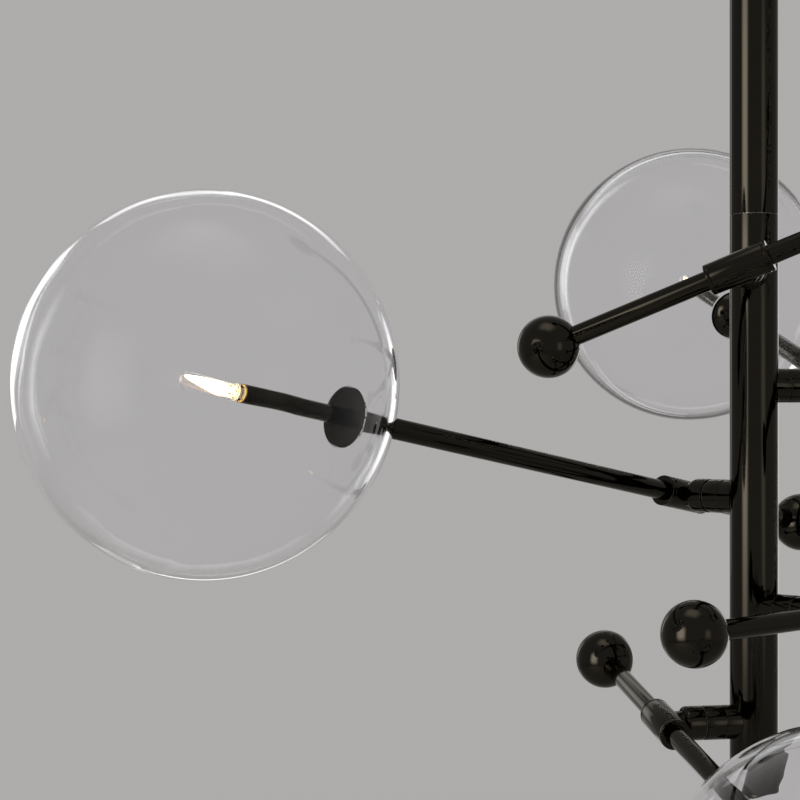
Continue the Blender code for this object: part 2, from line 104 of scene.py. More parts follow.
class ChandelierSizes(bpy.types.PropertyGroup):
    column_radius: length("Column radius", 15.5 * MM, "Outer radius of the stem and the column")
    column_wall: length("Column wall", 1.5 * MM, "Wall of the stem and the column")
    canopy_radius: length("Canopy radius", 60 * MM, "Outer radius of the canopy")
    stub_radius: length("Stub radius", 11 * MM, "Outer radius of the stubs and the sleeves' necks")
    stub_end: length("Stub end", 34.5 * MM, "Distance of the stub's end from the column's axis")
    stub_joint: length("Stub joint", 22 * MM, "Distance of the stub's hairline from the column's axis")
    sleeve_radius: length("Sleeve radius", 10 * MM, "Outer radius of the swivel sleeves")
    sleeve_length: length("Sleeve length", 41 * MM, "Length of the swivel sleeves along the rod")
    rod_radius: length("Rod radius", 6.35 * MM, "Outer radius of the rods")
    rod_wall: length("Rod wall", 1.5 * MM, "Wall of the rods")
    ball_radius: length("Ball radius", 20 * MM, "Radius of the counterweight balls")
    ball_distance: length("Ball distance", 130 * MM, "Distance of the ball's centre from the pivot")
    holder_radius: length("Holder radius", 18 * MM, "Radius of the dome in the globe's mouth")
    holder_depth: length("Holder depth", 12.7 * MM, "How far the dome's back would reach without the rod")
    holder_distance: length(
        "Holder distance", 99.4 * MM, "Distance of the dome's face from the globe's middle")
    rod_end: length("Rod end", 103 * MM, "Distance of the rod's end from the globe's centre")
    tube_radius: length("Lamp tube radius", 5.15 * MM, "Outer radius of the tube that carries the bulb")
    bulb_radius: length("Bulb radius", 4.75 * MM, "Radius of the capsule bulb")
    globe_across: length("Globe across", 106 * MM, "Radius of the globe square to its rod")
    globe_along: length("Globe along", 104 * MM, "Radius of the globe along its rod")
    globe_side_wall: length("Globe side wall", 3.5 * MM, "Glass thickness round the middle")
    globe_far_wall: length("Globe far wall", 4.5 * MM, "Glass thickness opposite the mouth")
    globe_mouth_wall: length("Globe mouth wall", 2.4 * MM, "Glass thickness at the mouth")
    globe_ripple: length("Globe ripple", 0.25 * MM, "How far the blown glass's inside waves in and out")


class ChandelierFinishes(bpy.types.PropertyGroup):
    metal: colour("Metal", (0.025, 0.0225, 0.0175), "Polished dark plating")
    steel: colour("Steel", (0.52, 0.53, 0.55), "Zinc-plated steel")
    plastic: colour("Plastic", (0.80, 0.80, 0.78), "Moulded plastic inside the canopy")
    ceramic: colour("Ceramic", (0.86, 0.84, 0.78), "Lamp socket")
    brass: colour("Brass", (0.78, 0.52, 0.20), "Collar at the lamp tube's end")
    glass: colour("Glass", (0.985, 0.985, 0.995), "Blown glass")
    glow: colour("Glow", (1.0, 0.62, 0.28), "Light of the bulb")
    glow_strength: FloatProperty(
        name="Glow strength", default=7.0, min=0, description="Brightness of the bulb's core")
    board_glow: colour("Board glow", (1.0, 0.80, 0.42), "Light of the board at the bulb's base")
    board_strength: FloatProperty(
        name="Board strength", default=2.6, min=0, description="Brightness of the board")


class ChandelierStage(bpy.types.PropertyGroup):
    surround: colour(
        "Surround", (0.425, 0.415, 0.41), "Colour of the light all round and of the background")
    floor: colour("Floor", (0.62, 0.61, 0.60), "Colour of the floor")
    floor_depth: length("Floor depth", 1.75, "Distance of the floor below the ceiling")
    floor_radius: length("Floor radius", 5.5, "Radius at which the floor has faded out")
    focal_length: FloatProperty(
        name="Focal length", default=95.57, min=1, description="Camera lens in millimetres")
    frame_shift: FloatProperty(
        name="Frame shift", default=0.01575, description="Upward shift of the picture")
    camera_place: FloatVectorProperty(
        name="Camera place", default=(-0.2278, -1.3669, -0.5631), size=3, subtype="XYZ",
        description="Where the camera stands, level and looking along +Y")
    sides: IntProperty(name="Sides", default=96, min=12, description="Facets round a large turned piece")


def sizes():
    return bpy.context.scene.chandelier_sizes


def finishes():
    return bpy.context.scene.chandelier_finishes


def stage_settings():
    return bpy.context.scene.chandelier_stage


class Shader:
    """A node material that is filled in socket by socket."""

    def __init__(self, name):
        self.material = bpy.data.materials.new(name)
        self.material.use_nodes = True
        self.tree = self.material.node_tree
        self.surface = self.tree.nodes["Principled BSDF"]
        self.output = self.tree.nodes["Material Output"]

    def set(self, **values):
        for socket, value in values.items():
            self.surface.inputs[socket.replace("_", " ")].default_value = value

    def node(self, kind, **values):
        node = self.tree.nodes.new(kind)
        for socket, value in values.items():
            node.inputs[socket.replace("_", " ")].default_value = value
        return node

    def link(self, source, target):
        self.tree.links.new(source, target)

    def object_noise(self, scale, detail, stretch=(1, 1, 1)):
        """Noise in the piece's own space, drawn out by stretch."""
        coordinates = self.node("ShaderNodeTexCoord")
        mapping = self.node("ShaderNodeMapping")
        mapping.inputs["Scale"].default_value = stretch
        field = self.node("ShaderNodeTexNoise", Scale=scale, Detail=detail)
        self.link(coordinates.outputs["Object"], mapping.inputs["Vector"])
        self.link(mapping.outputs["Vector"], field.inputs["Vector"])
        return field.outputs["Fac"]

    def spread(self, factor, low, high):
        """Map noise, which lies mostly between 0.3 and 0.7, onto a range of values."""
        spread = self.node("ShaderNodeMapRange")
        spread.inputs["From Min"].default_value = 0.3
        spread.inputs["From Max"].default_value = 0.7
        spread.inputs["To Min"].default_value = low
        spread.inputs["To Max"].default_value = high
        self.link(factor, spread.inputs["Value"])
        return spread.outputs["Result"]

    def bump(self, height, distance, strength):
        bump = self.node("ShaderNodeBump", Distance=distance, Strength=strength)
        self.link(height, bump.inputs["Height"])
        self.link(bump.outputs["Normal"], self.surface.inputs["Normal"])


def metal_finish():
    """Black nickel plate, polished, with faint wiping marks that vary the gloss."""
    shader = Shader("black_nickel")
    shader.set(Base_Color=(*finishes().metal, 1), Metallic=1, Specular_Tint=(0.8, 0.79, 0.76, 1))
    marks = shader.object_noise(scale=38, detail=4, stretch=(1, 1, 0.35))
    shader.link(shader.spread(marks, low=0.035, high=0.085), shader.surface.inputs["Roughness"])
    grain = shader.object_noise(scale=900, detail=2, stretch=(1, 1, 0.08))
    shader.bump(grain, distance=0.02 * MM, strength=0.06)
    return shader.material


def steel_finish():
    """Zinc plate with a fine dull grain."""
    shader = Shader("zinc_plate")
    shader.set(Base_Color=(*finishes().steel, 1), Metallic=1)
    grain = shader.object_noise(scale=260, detail=5)
    shader.link(shader.spread(grain, low=0.24, high=0.42), shader.surface.inputs["Roughness"])
    shader.bump(grain, distance=0.05 * MM, strength=0.15)
    return shader.material


def plastic_finish():
    """White moulded plastic with a spark-eroded grain."""
    shader = Shader("moulded_plastic")
    shader.set(Base_Color=(*finishes().plastic, 1), Roughness=0.5)
    shader.bump(shader.object_noise(scale=700, detail=3), distance=0.1 * MM, strength=0.25)
    return shader.material


def ceramic_finish():
    """Unglazed steatite, slightly speckled."""
    shader = Shader("steatite")
    shader.set(Base_Color=(*finishes().ceramic, 1))
    speckle = shader.object_noise(scale=900, detail=3)
    shader.link(shader.spread(speckle, low=0.35, high=0.6), shader.surface.inputs["Roughness"])
    return shader.material


def brass_finish():
    """Bright brass of the collar at the lamp tube's end."""
    shader = Shader("bright_brass")
    shader.set(Base_Color=(*finishes().brass, 1), Metallic=1)
    grain = shader.object_noise(scale=500, detail=3)
    shader.link(shader.spread(grain, low=0.12, high=0.28), shader.surface.inputs["Roughness"])
    return shader.material


def nylon_finish():
    """Dull black nylon of the swivel washers."""
    shader = Shader("black_nylon")
    shader.set(Base_Color=(0.012, 0.012, 0.012, 1))
    grain = shader.object_noise(scale=600, detail=2)
    shader.link(shader.spread(grain, low=0.4, high=0.6), shader.surface.inputs["Roughness"])
    return shader.material


def glass_finish(name, wave):
    """Clear glass with faint reflections; wave is the height of the slow waves in its surface."""
    shader = Shader(name)
    shader.set(Base_Color=(*finishes().glass, 1), Roughness=0, IOR=1.5, Transmission_Weight=1)
    shader.set(Specular_Tint=(0.075, 0.075, 0.08, 1))
    shader.bump(shader.object_noise(scale=22, detail=2), distance=wave, strength=0.5)
    return shader.material


def glow_finish(name, tint, strength):
    """A lit part of the bulb, with a mottled brightness."""
    shader = Shader(name)
    shader.set(Base_Color=(*tint, 1), Emission_Color=(*tint, 1), Roughness=0.5)
    speckle = shader.object_noise(scale=420, detail=3)
    brightness = shader.spread(speckle, low=0.6 * strength, high=strength)
    shader.link(brightness, shader.surface.inputs["Emission Strength"])
    return shader.material


def chip_finish():
    """Amber resin of the small chips on the bulb's board."""
    shader = Shader("amber_chip")
    shader.set(Base_Color=(0.30, 0.16, 0.03, 1), Emission_Color=(0.5, 0.3, 0.08, 1), Emission_Strength=0.25)
    grain = shader.object_noise(scale=800, detail=2)
    shader.link(shader.spread(grain, low=0.25, high=0.5), shader.surface.inputs["Roughness"])
    return shader.material


def finish_named(name):
    """Each finish is made once and then shared."""
    makers = {
        "black_nickel": metal_finish,
        "zinc_plate": steel_finish,
        "moulded_plastic": plastic_finish,
        "steatite": ceramic_finish,
        "bright_brass": brass_finish,
        "black_nylon": nylon_finish,
        "blown_glass": lambda: glass_finish("blown_glass", wave=0.045 * MM),
        "capsule_glass": lambda: glass_finish("capsule_glass", wave=0.02 * MM),
        "lit_core": lambda: glow_finish("lit_core", finishes().glow, finishes().glow_strength),
        "lit_board": lambda: glow_finish("lit_board", finishes().board_glow, finishes().board_strength),
        "amber_chip": chip_finish,
    }
    return bpy.data.materials.get(name) or makers[name]()


def arc(centre, across, along, first, last, rings):
    """Profile points on an ellipse, from angle first to last, measured from the axis's top."""
    points = []
    for ring in range(rings + 1):
        angle = first + (last - first) * ring / rings
        points.append((across * math.sin(angle), centre + along * math.cos(angle)))
    return points


def eased(outline, easing, is_ring=False, cuts=3):
    """The outline with each corner off the axis rounded over by about the easing."""
    count = len(outline)
    points = []
    for index, corner in enumerate(outline):
        here = Vector(corner)
        is_end = not is_ring and index in (0, count - 1)
        if is_end or corner[0] == 0:
            points.append(corner)
            continue
        before = Vector(outline[index - 1]) - here
        after = Vector(outline[(index + 1) % count]) - here
        # An edge has a corner at each end, so each takes less than half of it
        taken = min(easing, 0.45 * before.length, 0.45 * after.length)
        start = here + before.normalized() * taken
        end = here + after.normalized() * taken
        for step in range(cuts + 1):
            share = step / cuts
            first = start.lerp(here, share)
            second = here.lerp(end, share)
            points.append(tuple(first.lerp(second, share)))
    return points


def passing(mesh):
    """An object that exists only while modifiers are tried on it."""
    scratch = bpy.data.objects.new("passing", mesh)
    bpy.context.scene.collection.objects.link(scratch)
    return scratch


def baked(source):
    """The mesh of an object with its modifiers applied; the object is removed."""
    bpy.context.view_layer.update()
    mesh = bpy.data.meshes.new_from_object(source.evaluated_get(bpy.context.evaluated_depsgraph_get()))
    bpy.data.objects.remove(source, do_unlink=True)
    return mesh


def turned(outline, sides, is_ring=False, along=None):
    """Turn an outline of (radius, height) points, top to bottom on its outer side, about Z."""
    mesh = bpy.data.meshes.new("outline")
    edges = [(index, index + 1) for index in range(len(outline) - 1)]
    if is_ring:
        edges.append((len(outline) - 1, 0))
    mesh.from_pydata([(radius, 0, height) for radius, height in outline], edges, [])
    scratch = passing(mesh)
    screw = scratch.modifiers.new("Turn", "SCREW")
    screw.steps = sides
    screw.render_steps = sides
    screw.use_merge_vertices = True
    screw.merge_threshold = 0.001 * MM
    shape = baked(scratch)
    if along:
        shape.transform(along)
    return shape


def tube(outer, inner, top, bottom, sides, easing, along=None):
    """A straight tube with eased edges."""
    outline = [(outer, top), (outer, bottom), (inner, bottom), (inner, top)]
    return turned(eased(outline, easing, is_ring=True), sides, is_ring=True, along=along)


def bar(radius, top, bottom, sides, along=None):
    """A plain solid cylinder, used to cut and to join."""
    return turned([(0, top), (radius, top), (radius, bottom), (0, bottom)], sides, along=along)


def block(across, width, height, edge):
    """A box centred on the origin with rounded edges."""
    mesh = bpy.data.meshes.new("block")
    cube = bmesh.new()
    bmesh.ops.create_cube(cube, size=1)
    bmesh.ops.scale(cube, vec=(across, width, height), verts=cube.verts)
    cube.to_mesh(mesh)
    cube.free()
    scratch = passing(mesh)
    bevel = scratch.modifiers.new("Edges", "BEVEL")
    bevel.width = edge
    bevel.segments = 3
    return baked(scratch)


def combined(mesh, other, operation, shift=(0, 0, 0)):
    """Cut other out of a mesh or join it on, with other moved by shift."""
    base = passing(mesh)
    tool = passing(other)
    tool.location = shift
    boolean = base.modifiers.new("Combine", "BOOLEAN")
    boolean.operation = operation
    boolean.object = tool
    result = baked(base)
    bpy.data.objects.remove(tool, do_unlink=True)
    return result


def cut(mesh, other, shift=(0, 0, 0)):
    return combined(mesh, other, "DIFFERENCE", shift)


def joined(mesh, other):
    return combined(mesh, other, "UNION")


def show(name, mesh, finish, body, place=None, node=None):
    """Put a finished mesh in the scene as a piece that rides on a body and may replace a node."""
    if place:
        mesh.transform(place)
    mesh.materials.clear()
    mesh.materials.append(finish_named(finish))
    mesh.shade_smooth()
    mesh.set_sharp_from_angle(angle=SHARP_ANGLE)
    piece = bpy.data.objects.new(name, mesh)
    bpy.context.scene.collection.objects.link(piece)
    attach(piece, body)
    if node:
        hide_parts(node)
    return piece


def joint_of(arm):
    return next(joint for joint in frame["joints"] if joint["child"] == arm)


def station(arm):
    """Where the arm's stub leaves the column: -Y points out along the stub."""
    joint = joint_of(arm)
    outward = joint["axis"]
    direction = math.atan2(outward[0], -outward[1])
    return Matrix.Translation((0, 0, joint["pos_m"][2])) @ Matrix.Rotation(direction, 4, "Z")


def pivot(arm):
    """The tilted frame at the arm's pivot: +X points along the rod to the globe."""
    joint = joint_of(arm)
    rise, _ = RODS[arm]
    turn = station(arm).to_3x3().to_4x4()
    return Matrix.Translation(joint["pos_m"]) @ turn @ Matrix.Rotation(-math.radians(rise), 4, "Y")


def globe_centre(arm):
    """The same frame, moved to the globe's centre."""
    return pivot(arm) @ Matrix.Translation((RODS[arm][1], 0, 0))


def reach():
    """How far the pivots stand from the column's axis."""
    return Vector(joint_of("arm_1")["pos_m"]).xy.length


def heights(node):
    """The top and bottom of a node."""
    low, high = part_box(node)
    return high.z, low.z


def grub_screw_mesh():
    """A small socket screw along +Z, its top at the origin, with a six-sided recess."""
    radius = 1.5 * MM
    bottom = -3 * MM
    recess_radius = 0.85 * MM
    recess_floor = -1.2 * MM
    screw = turned(eased([(0, 0), (radius, 0), (radius, bottom), (0, bottom)], easing=0.3 * MM), sides=24)
    return cut(screw, bar(recess_radius, OVERRUN, recess_floor, sides=6))


class CHANDELIER_OT_ceiling(bpy.types.Operator):
    """Add the ceiling plate, the canopy and what they hide"""
    bl_idname = "chandelier.ceiling"
    bl_label = "Ceiling pieces"

    def execute(self, context):
        size = sizes()
        sides = stage_settings().sides
        self.plate(size, sides)
        self.canopy(size, sides)
        self.nipple()
        self.plug(size, sides)
        self.driver()
        self.terminal_block()
        return {"FINISHED"}

    def plate(self, size, sides):
        """A disc with a hub for the nipple, two screw holes and a hole for the leads."""
        top, hub_bottom = heights("ceiling_plate")
        radius = size.canopy_radius - size.column_wall - CLEARANCE
        thickness = 3 * MM
        underside = top - thickness
        hub_radius = 9 * MM
        outline = [
            (0, top),
            (radius, top),
            (radius, underside),
            (hub_radius, underside),
            (hub_radius, hub_bottom),
            (NIPPLE_BORE, hub_bottom),
            (NIPPLE_BORE, underside),
            (0, underside),
        ]
        plate = turned(eased(outline, easing=0.4 * MM), sides)
        through = -8 * MM
        sink_top = 1 * MM
        sink_floor = -1.2 * MM
        sink_radius = 3.6 * MM
        hole_radius = 2.2 * MM
        profile = [(0, sink_top), (sink_radius, sink_top), (hole_radius, sink_floor)]
        profile += [(hole_radius, through), (0, through)]
        screw_distance = 49.2 * MM
        for side in (-1, 1):
            place = (side * screw_distance, 0, underside + thickness)
            plate = cut(plate, turned(profile, sides=32), place)
        lead_radius = 6 * MM
        lead_distance = 30 * MM
        plate = cut(plate, bar(lead_radius, OVERRUN, through, sides=48), (lead_distance, 0, top))
        show("ceiling_plate_disc", plate, "zinc_plate", "core", node="ceiling_plate")

    def canopy(self, size, sides):
        """A cup with a rounded lower corner."""
        top, bottom = heights("canopy")
        radius = size.canopy_radius
        wall = size.column_wall
        corner = 3 * MM
        centre = bottom + corner
        inner = corner - wall
        outside = arc(centre, corner, corner, QUARTER, HALF, rings=8)
        inside = arc(centre, inner, inner, HALF, QUARTER, rings=6)
        outline = [(radius, top)]
        outline += [(radius - corner + r, z) for r, z in outside]
        outline += [(NIPPLE_BORE, bottom), (NIPPLE_BORE, bottom + wall)]
        outline += [(radius - corner + r, z) for r, z in inside]
        outline += [(radius - wall, top)]
        cup = turned(eased(outline, easing=0.35 * MM, is_ring=True, cuts=2), sides, is_ring=True)
        show("canopy_cup", cup, "black_nickel", "core", node="canopy")

    def nipple(self):
        """A threaded tube with a side hole for the cables."""
        top, bottom = heights("hanger_nipple")
        pitch = 1 * MM
        depth = 0.35 * MM
        radius = 5 * MM
        bore = 3.5 * MM
        end_radius = radius - 0.5 * MM
        outline = [(end_radius, top)]
        for turn in range(int((top - bottom) / pitch) - 1):
            crest = top - (turn + 1) * pitch
            outline += [(radius, crest), (radius - depth, crest - pitch / 2)]
        outline += [(end_radius, bottom), (bore, bottom), (bore, top)]
        nipple = turned(outline, sides=32, is_ring=True)
        hole_radius = 2.2 * MM
        hole_height = -21.75 * MM
        hole = bar(hole_radius, radius + OVERRUN, 0, sides=24, along=ALONG_X)
        nipple = cut(nipple, hole, (0, 0, hole_height))
        show("nipple_thread", nipple, "zinc_plate", "core", node="hanger_nipple")

    def plug(self, size, sides):
        """A flanged plug for the stem's top."""
        top, bottom = heights("stem_plug")
        spigot = size.column_radius - size.column_wall - CLEARANCE
        flange = top - 3 * MM
        outline = [
            (NIPPLE_BORE, top),
            (size.column_radius, top),
            (size.column_radius, flange),
            (spigot, flange),
            (spigot, bottom),
            (NIPPLE_BORE, bottom),
        ]
        plug = turned(eased(outline, easing=0.4 * MM, is_ring=True), sides, is_ring=True)
        show("stem_collar", plug, "black_nickel", "core", node="stem_plug")

    def driver(self):
        """A case with a groove at its lid's joint and a cable entry at each end."""
        low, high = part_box("driver")
        extent = high - low
        case = block(extent.x, extent.y, extent.z, edge=1.6 * MM)
        inset = 0.8 * MM
        edge = 0.1 * MM
        groove = block(extent.x + OVERRUN, extent.y + OVERRUN, 0.5 * MM, edge)
        core = block(extent.x - inset, extent.y - inset, 1 * MM, edge)
        case = cut(case, cut(groove, core), (0, 0, extent.z / 4))
        entry_radius = 2.4 * MM
        entry_depth = 3 * MM
        for side in (-1, 1):
            entry = bar(entry_radius, entry_depth, -entry_depth, sides=24, along=ALONG_X)
            case = cut(case, entry, (side * extent.x / 2, 0, 0))
        centre = Matrix.Translation((low + high) / 2)
        show("driver_case", case, "moulded_plastic", "core", centre, "driver")

    def terminal_block(self):
        """A block of three ways, each with a lead hole and a screw well."""
        low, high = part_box("terminal_block")
        extent = high - low
        ways = block(extent.x, extent.y, extent.z, edge=0.9 * MM)
        face = extent.y / 2
        pitch = extent.x / 3
        hole_radius = 2 * MM
        hole_depth = 5 * MM
        well_radius = 2.4 * MM
        well_depth = 2 * MM
        well_shift = -1 * MM
        for way in (-1, 0, 1):
            hole = bar(hole_radius, face + OVERRUN, face - hole_depth, sides=24, along=ALONG_Y)
            ways = cut(ways, hole, (way * pitch, 0, 0))
            well = bar(well_radius, OVERRUN, -2 * well_depth, sides=24)
            ways = cut(ways, well, (way * pitch, well_shift, -extent.z / 2 + well_depth))
        centre = Matrix.Translation((low + high) / 2)
        show("terminal_ways", ways, "moulded_plastic", "core", centre, "terminal_block")


class CHANDELIER_OT_column(bpy.types.Operator):
    """Add the stem, the column, the coupling between them and the end cap"""
    bl_idname = "chandelier.column"
    bl_label = "Stem and column"
    sharp_edge = 0.02 * MM

    def execute(self, context):
        size = sizes()
        sides = stage_settings().sides
        bore = size.column_radius - size.column_wall
        stem = tube(size.column_radius, bore, *heights("stem"), sides, self.sharp_edge)
        show("stem_tube", stem, "black_nickel", "core", node="stem")
        insert = bore - CLEARANCE
        coupling = tube(insert, insert - size.column_wall, *heights("coupling"), sides, easing=0.5 * MM)
        show("coupling_tube", coupling, "zinc_plate", "core", node="coupling")
        column = self.column(size, sides, bore)
        for arm in RODS:
            place = station(arm) @ ALONG_MINUS_Y
            hole = bar(SPIGOT_RADIUS + CLEARANCE, size.column_radius + OVERRUN, 0, sides=48, along=place)
            column = cut(column, hole)
        show("column_tube", column, "black_nickel", "core", node="column")
        self.end_cap(size, sides, insert)
        return {"FINISHED"}

    def column(self, size, sides, bore):
        """The lower tube, its top undercut to a dark hairline against the stem."""
        radius = size.column_radius
        depth = 0.6 * MM
        height = 0.3 * MM
        top, bottom = heights("column")
        outline = [(radius - depth, top), (radius, top - height)]
        outline += [(radius, bottom), (bore, bottom), (bore, top)]
        return turned(eased(outline, self.sharp_edge, is_ring=True), sides, is_ring=True)

    def end_cap(self, size, sides, insert):
        """A flanged plug for the column's bottom."""
        top, bottom = heights("end_cap")
        flange = bottom + 3 * MM
        outline = [
            (0, top),
            (insert, top),
            (insert, flange),
            (size.column_radius, flange),
            (size.column_radius, bottom),
            (0, bottom),
        ]
        cap = turned(eased(outline, easing=0.5 * MM), sides)
        show("column_cap", cap, "black_nickel", "core", node="end_cap")


class CHANDELIER_OT_stubs(bpy.types.Operator):
    """Add the fixed stubs on the column with their pivot bolts and washers"""
    bl_idname = "chandelier.stubs"
    bl_label = "Stubs"

    def execute(self, context):
        size = sizes()
        stub = self.stub(size)
        bolt = self.bolt(size)
        washer = self.washer(size)
        for arm in RODS:
            place = station(arm) @ ALONG_MINUS_Y
            show(f"{arm}_stub_turned", stub.copy(), "black_nickel", "core",
                 place, f"{arm}_stub")
            show(f"{arm}_bolt_turned", bolt.copy(), "zinc_plate", "core",
                 place, f"{arm}_pivot_bolt")
            show(f"{arm}_washer", washer.copy(), "black_nylon", "core", place)
        return {"FINISHED"}

    def stub(self, size):
        """A stub with a fine joint line near the column, cut to saddle it."""
        radius = size.stub_radius
        thrust_radius = 9.5 * MM
        face = size.stub_end + 1.1 * MM
        groove = 0.22 * MM
        outline = [(0, face), (thrust_radius, face)]
        outline += [(thrust_radius, size.stub_end), (radius, size.stub_end)]
        outline += [(radius, size.stub_joint + groove), (radius - groove, size.stub_joint + groove / 2)]
        outline += [(radius - groove, size.stub_joint - groove / 2), (radius, size.stub_joint - groove)]
        outline += [(radius, 0), (0, 0)]
        body = turned(eased(outline, easing=0.45 * MM), sides=72)
        half = radius + OVERRUN
        saddle = bar(size.column_radius + CLEARANCE, half, -half, sides=128, along=ALONG_Y)
        body = cut(body, saddle)
        spigot_end = size.column_radius - size.column_wall - 1.5 * MM
        body = joined(body, bar(SPIGOT_RADIUS, size.column_radius + OVERRUN, spigot_end, sides=48))
        return cut(body, bar(CABLE_BORE, face + OVERRUN, 0, sides=32))

    def bolt(self, size):
        """A hollow bolt whose head lies inside the sleeve."""
        seat = 49.4 * MM
        head_top = seat + 3.5 * MM
        end = size.stub_end - 16.5 * MM
        bore, shank, head = 2 * MM, 3.6 * MM, 5.5 * MM
        outline = [(bore, head_top), (head, head_top), (head, seat)]
        outline += [(shank, seat), (shank, end), (bore, end)]
        return turned(eased(outline, easing=0.35 * MM, is_ring=True), sides=36, is_ring=True)

    def washer(self, size):
        """A thin ring between the stub and the sleeve's neck."""
        outer, inner = 10.3 * MM, 9.6 * MM
        top = size.stub_end + 1.2 * MM
        bottom = size.stub_end + 0.1 * MM
        return tube(outer, inner, top, bottom, sides=72, easing=0.15 * MM)


class CHANDELIER_OT_sleeves(bpy.types.Operator):
    """Add the swivel sleeves that hold the rods"""
    bl_idname = "chandelier.sleeves"
    bl_label = "Swivel sleeves"

    def execute(self, context):
        sleeve = self.sleeve(sizes())
        screw = grub_screw_mesh()
        screw_height = -sizes().sleeve_radius + 0.15 * MM
        for arm in RODS:
            frame_here = pivot(arm)
            place = frame_here @ ALONG_X
            show(f"{arm}_sleeve_turned", sleeve.copy(), "black_nickel", arm,
                 place, f"{arm}_sleeve")
            underside = Matrix.Translation((GRUB_DISTANCE, 0, screw_height))
            screw_place = frame_here @ underside @ Matrix.Rotation(HALF, 4, "X")
            show(f"{arm}_grub_screw", screw.copy(), "zinc_plate", arm, screw_place)
        return {"FINISHED"}

    def sleeve(self, size):
        """A tube round the rod joined to a neck, hollow for the bolt's head."""
        from_column = 35.9 * MM
        straight = 10.1 * MM
        shoulder = 3 * MM
        neck_face = reach() - from_column
        low = neck_face - straight
        outline = [(0, neck_face), (size.stub_radius, neck_face)]
        rounding = arc(low, shoulder, shoulder, QUARTER, HALF, rings=8)
        outline += [(size.stub_radius - shoulder + radius, height) for radius, height in rounding]
        outline += [(size.stub_radius - shoulder, 0), (0, 0)]
        neck = turned(eased(outline, easing=0.45 * MM), sides=72, along=ALONG_Y)
        half = size.sleeve_length / 2
        sleeve = joined(self.body(size, half), neck)
        rod_bore = size.rod_radius + CLEARANCE
        sleeve = cut(sleeve, bar(rod_bore, half + OVERRUN, -half - OVERRUN, sides=48))
        pocket_radius = 5.8 * MM
        pocket_floor = 10.9 * MM
        sleeve = cut(sleeve, bar(pocket_radius, pocket_floor, 0, sides=36, along=ALONG_Y))
        sleeve = cut(sleeve, bar(CABLE_BORE, neck_face + OVERRUN, 0, sides=32, along=ALONG_Y))
        grub_radius = 1.6 * MM
        grub_hole = bar(grub_radius, size.sleeve_radius + OVERRUN, 0, sides=24, along=ALONG_X)
        return cut(sleeve, grub_hole, (0, 0, GRUB_DISTANCE))

    def body(self, size, half):
        """The tube's outside, with a fine groove behind a ring at each end."""
        radius = size.sleeve_radius
        ring = 2.6 * MM
        groove = 0.3 * MM
        upper = [(0, half), (radius, half), (radius, half - ring)]
        upper += [(radius - groove, half - ring - groove / 2), (radius - groove, half - ring - groove)]
        upper += [(radius, half - ring - 1.5 * groove)]
        lower = [(across, -height) for across, height in reversed(upper)]
        return turned(eased(upper + lower, easing=0.7 * MM), sides=72)


class CHANDELIER_OT_rods(bpy.types.Operator):
    """Add the rods and the balls on their short ends"""
    bl_idname = "chandelier.rods"
    bl_label = "Rods and balls"

    def execute(self, context):
        size = sizes()
        ball = self.ball(size)
        for arm, (_, distance) in RODS.items():
            place = pivot(arm) @ ALONG_X
            show(f"{arm}_rod_tube", self.rod(size, distance), "black_nickel", arm,
                 place, f"{arm}_rod")
            show(f"{arm}_ball", ball.copy(), "black_nickel", arm,
                 place, f"{arm}_counterweight")
        return {"FINISHED"}

    def rod(self, size, distance):
        """A tube with a cable hole opposite the bolt."""
        radius = size.rod_radius
        top = distance - size.rod_end
        bottom = size.ball_radius - size.ball_distance - BALL_BORE_DEPTH + CLEARANCE
        rod = tube(radius, radius - size.rod_wall, top, bottom, sides=64, easing=0.4 * MM)
        cable_hole = 2.5 * MM
        return cut(rod, bar(cable_hole, radius + OVERRUN, 0, sides=24, along=ALONG_Y))

    def ball(self, size):
        """A ball with a blind bore where the rod goes in."""
        bore = size.rod_radius + CLEARANCE
        radius = size.ball_radius
        centre = -size.ball_distance
        floor = centre + radius - BALL_BORE_DEPTH
        first = math.asin(bore / radius)
        outline = [(0, floor), (bore, floor)]
        outline += arc(centre, radius, radius, first, HALF, rings=48)
        return turned(outline, stage_settings().sides)


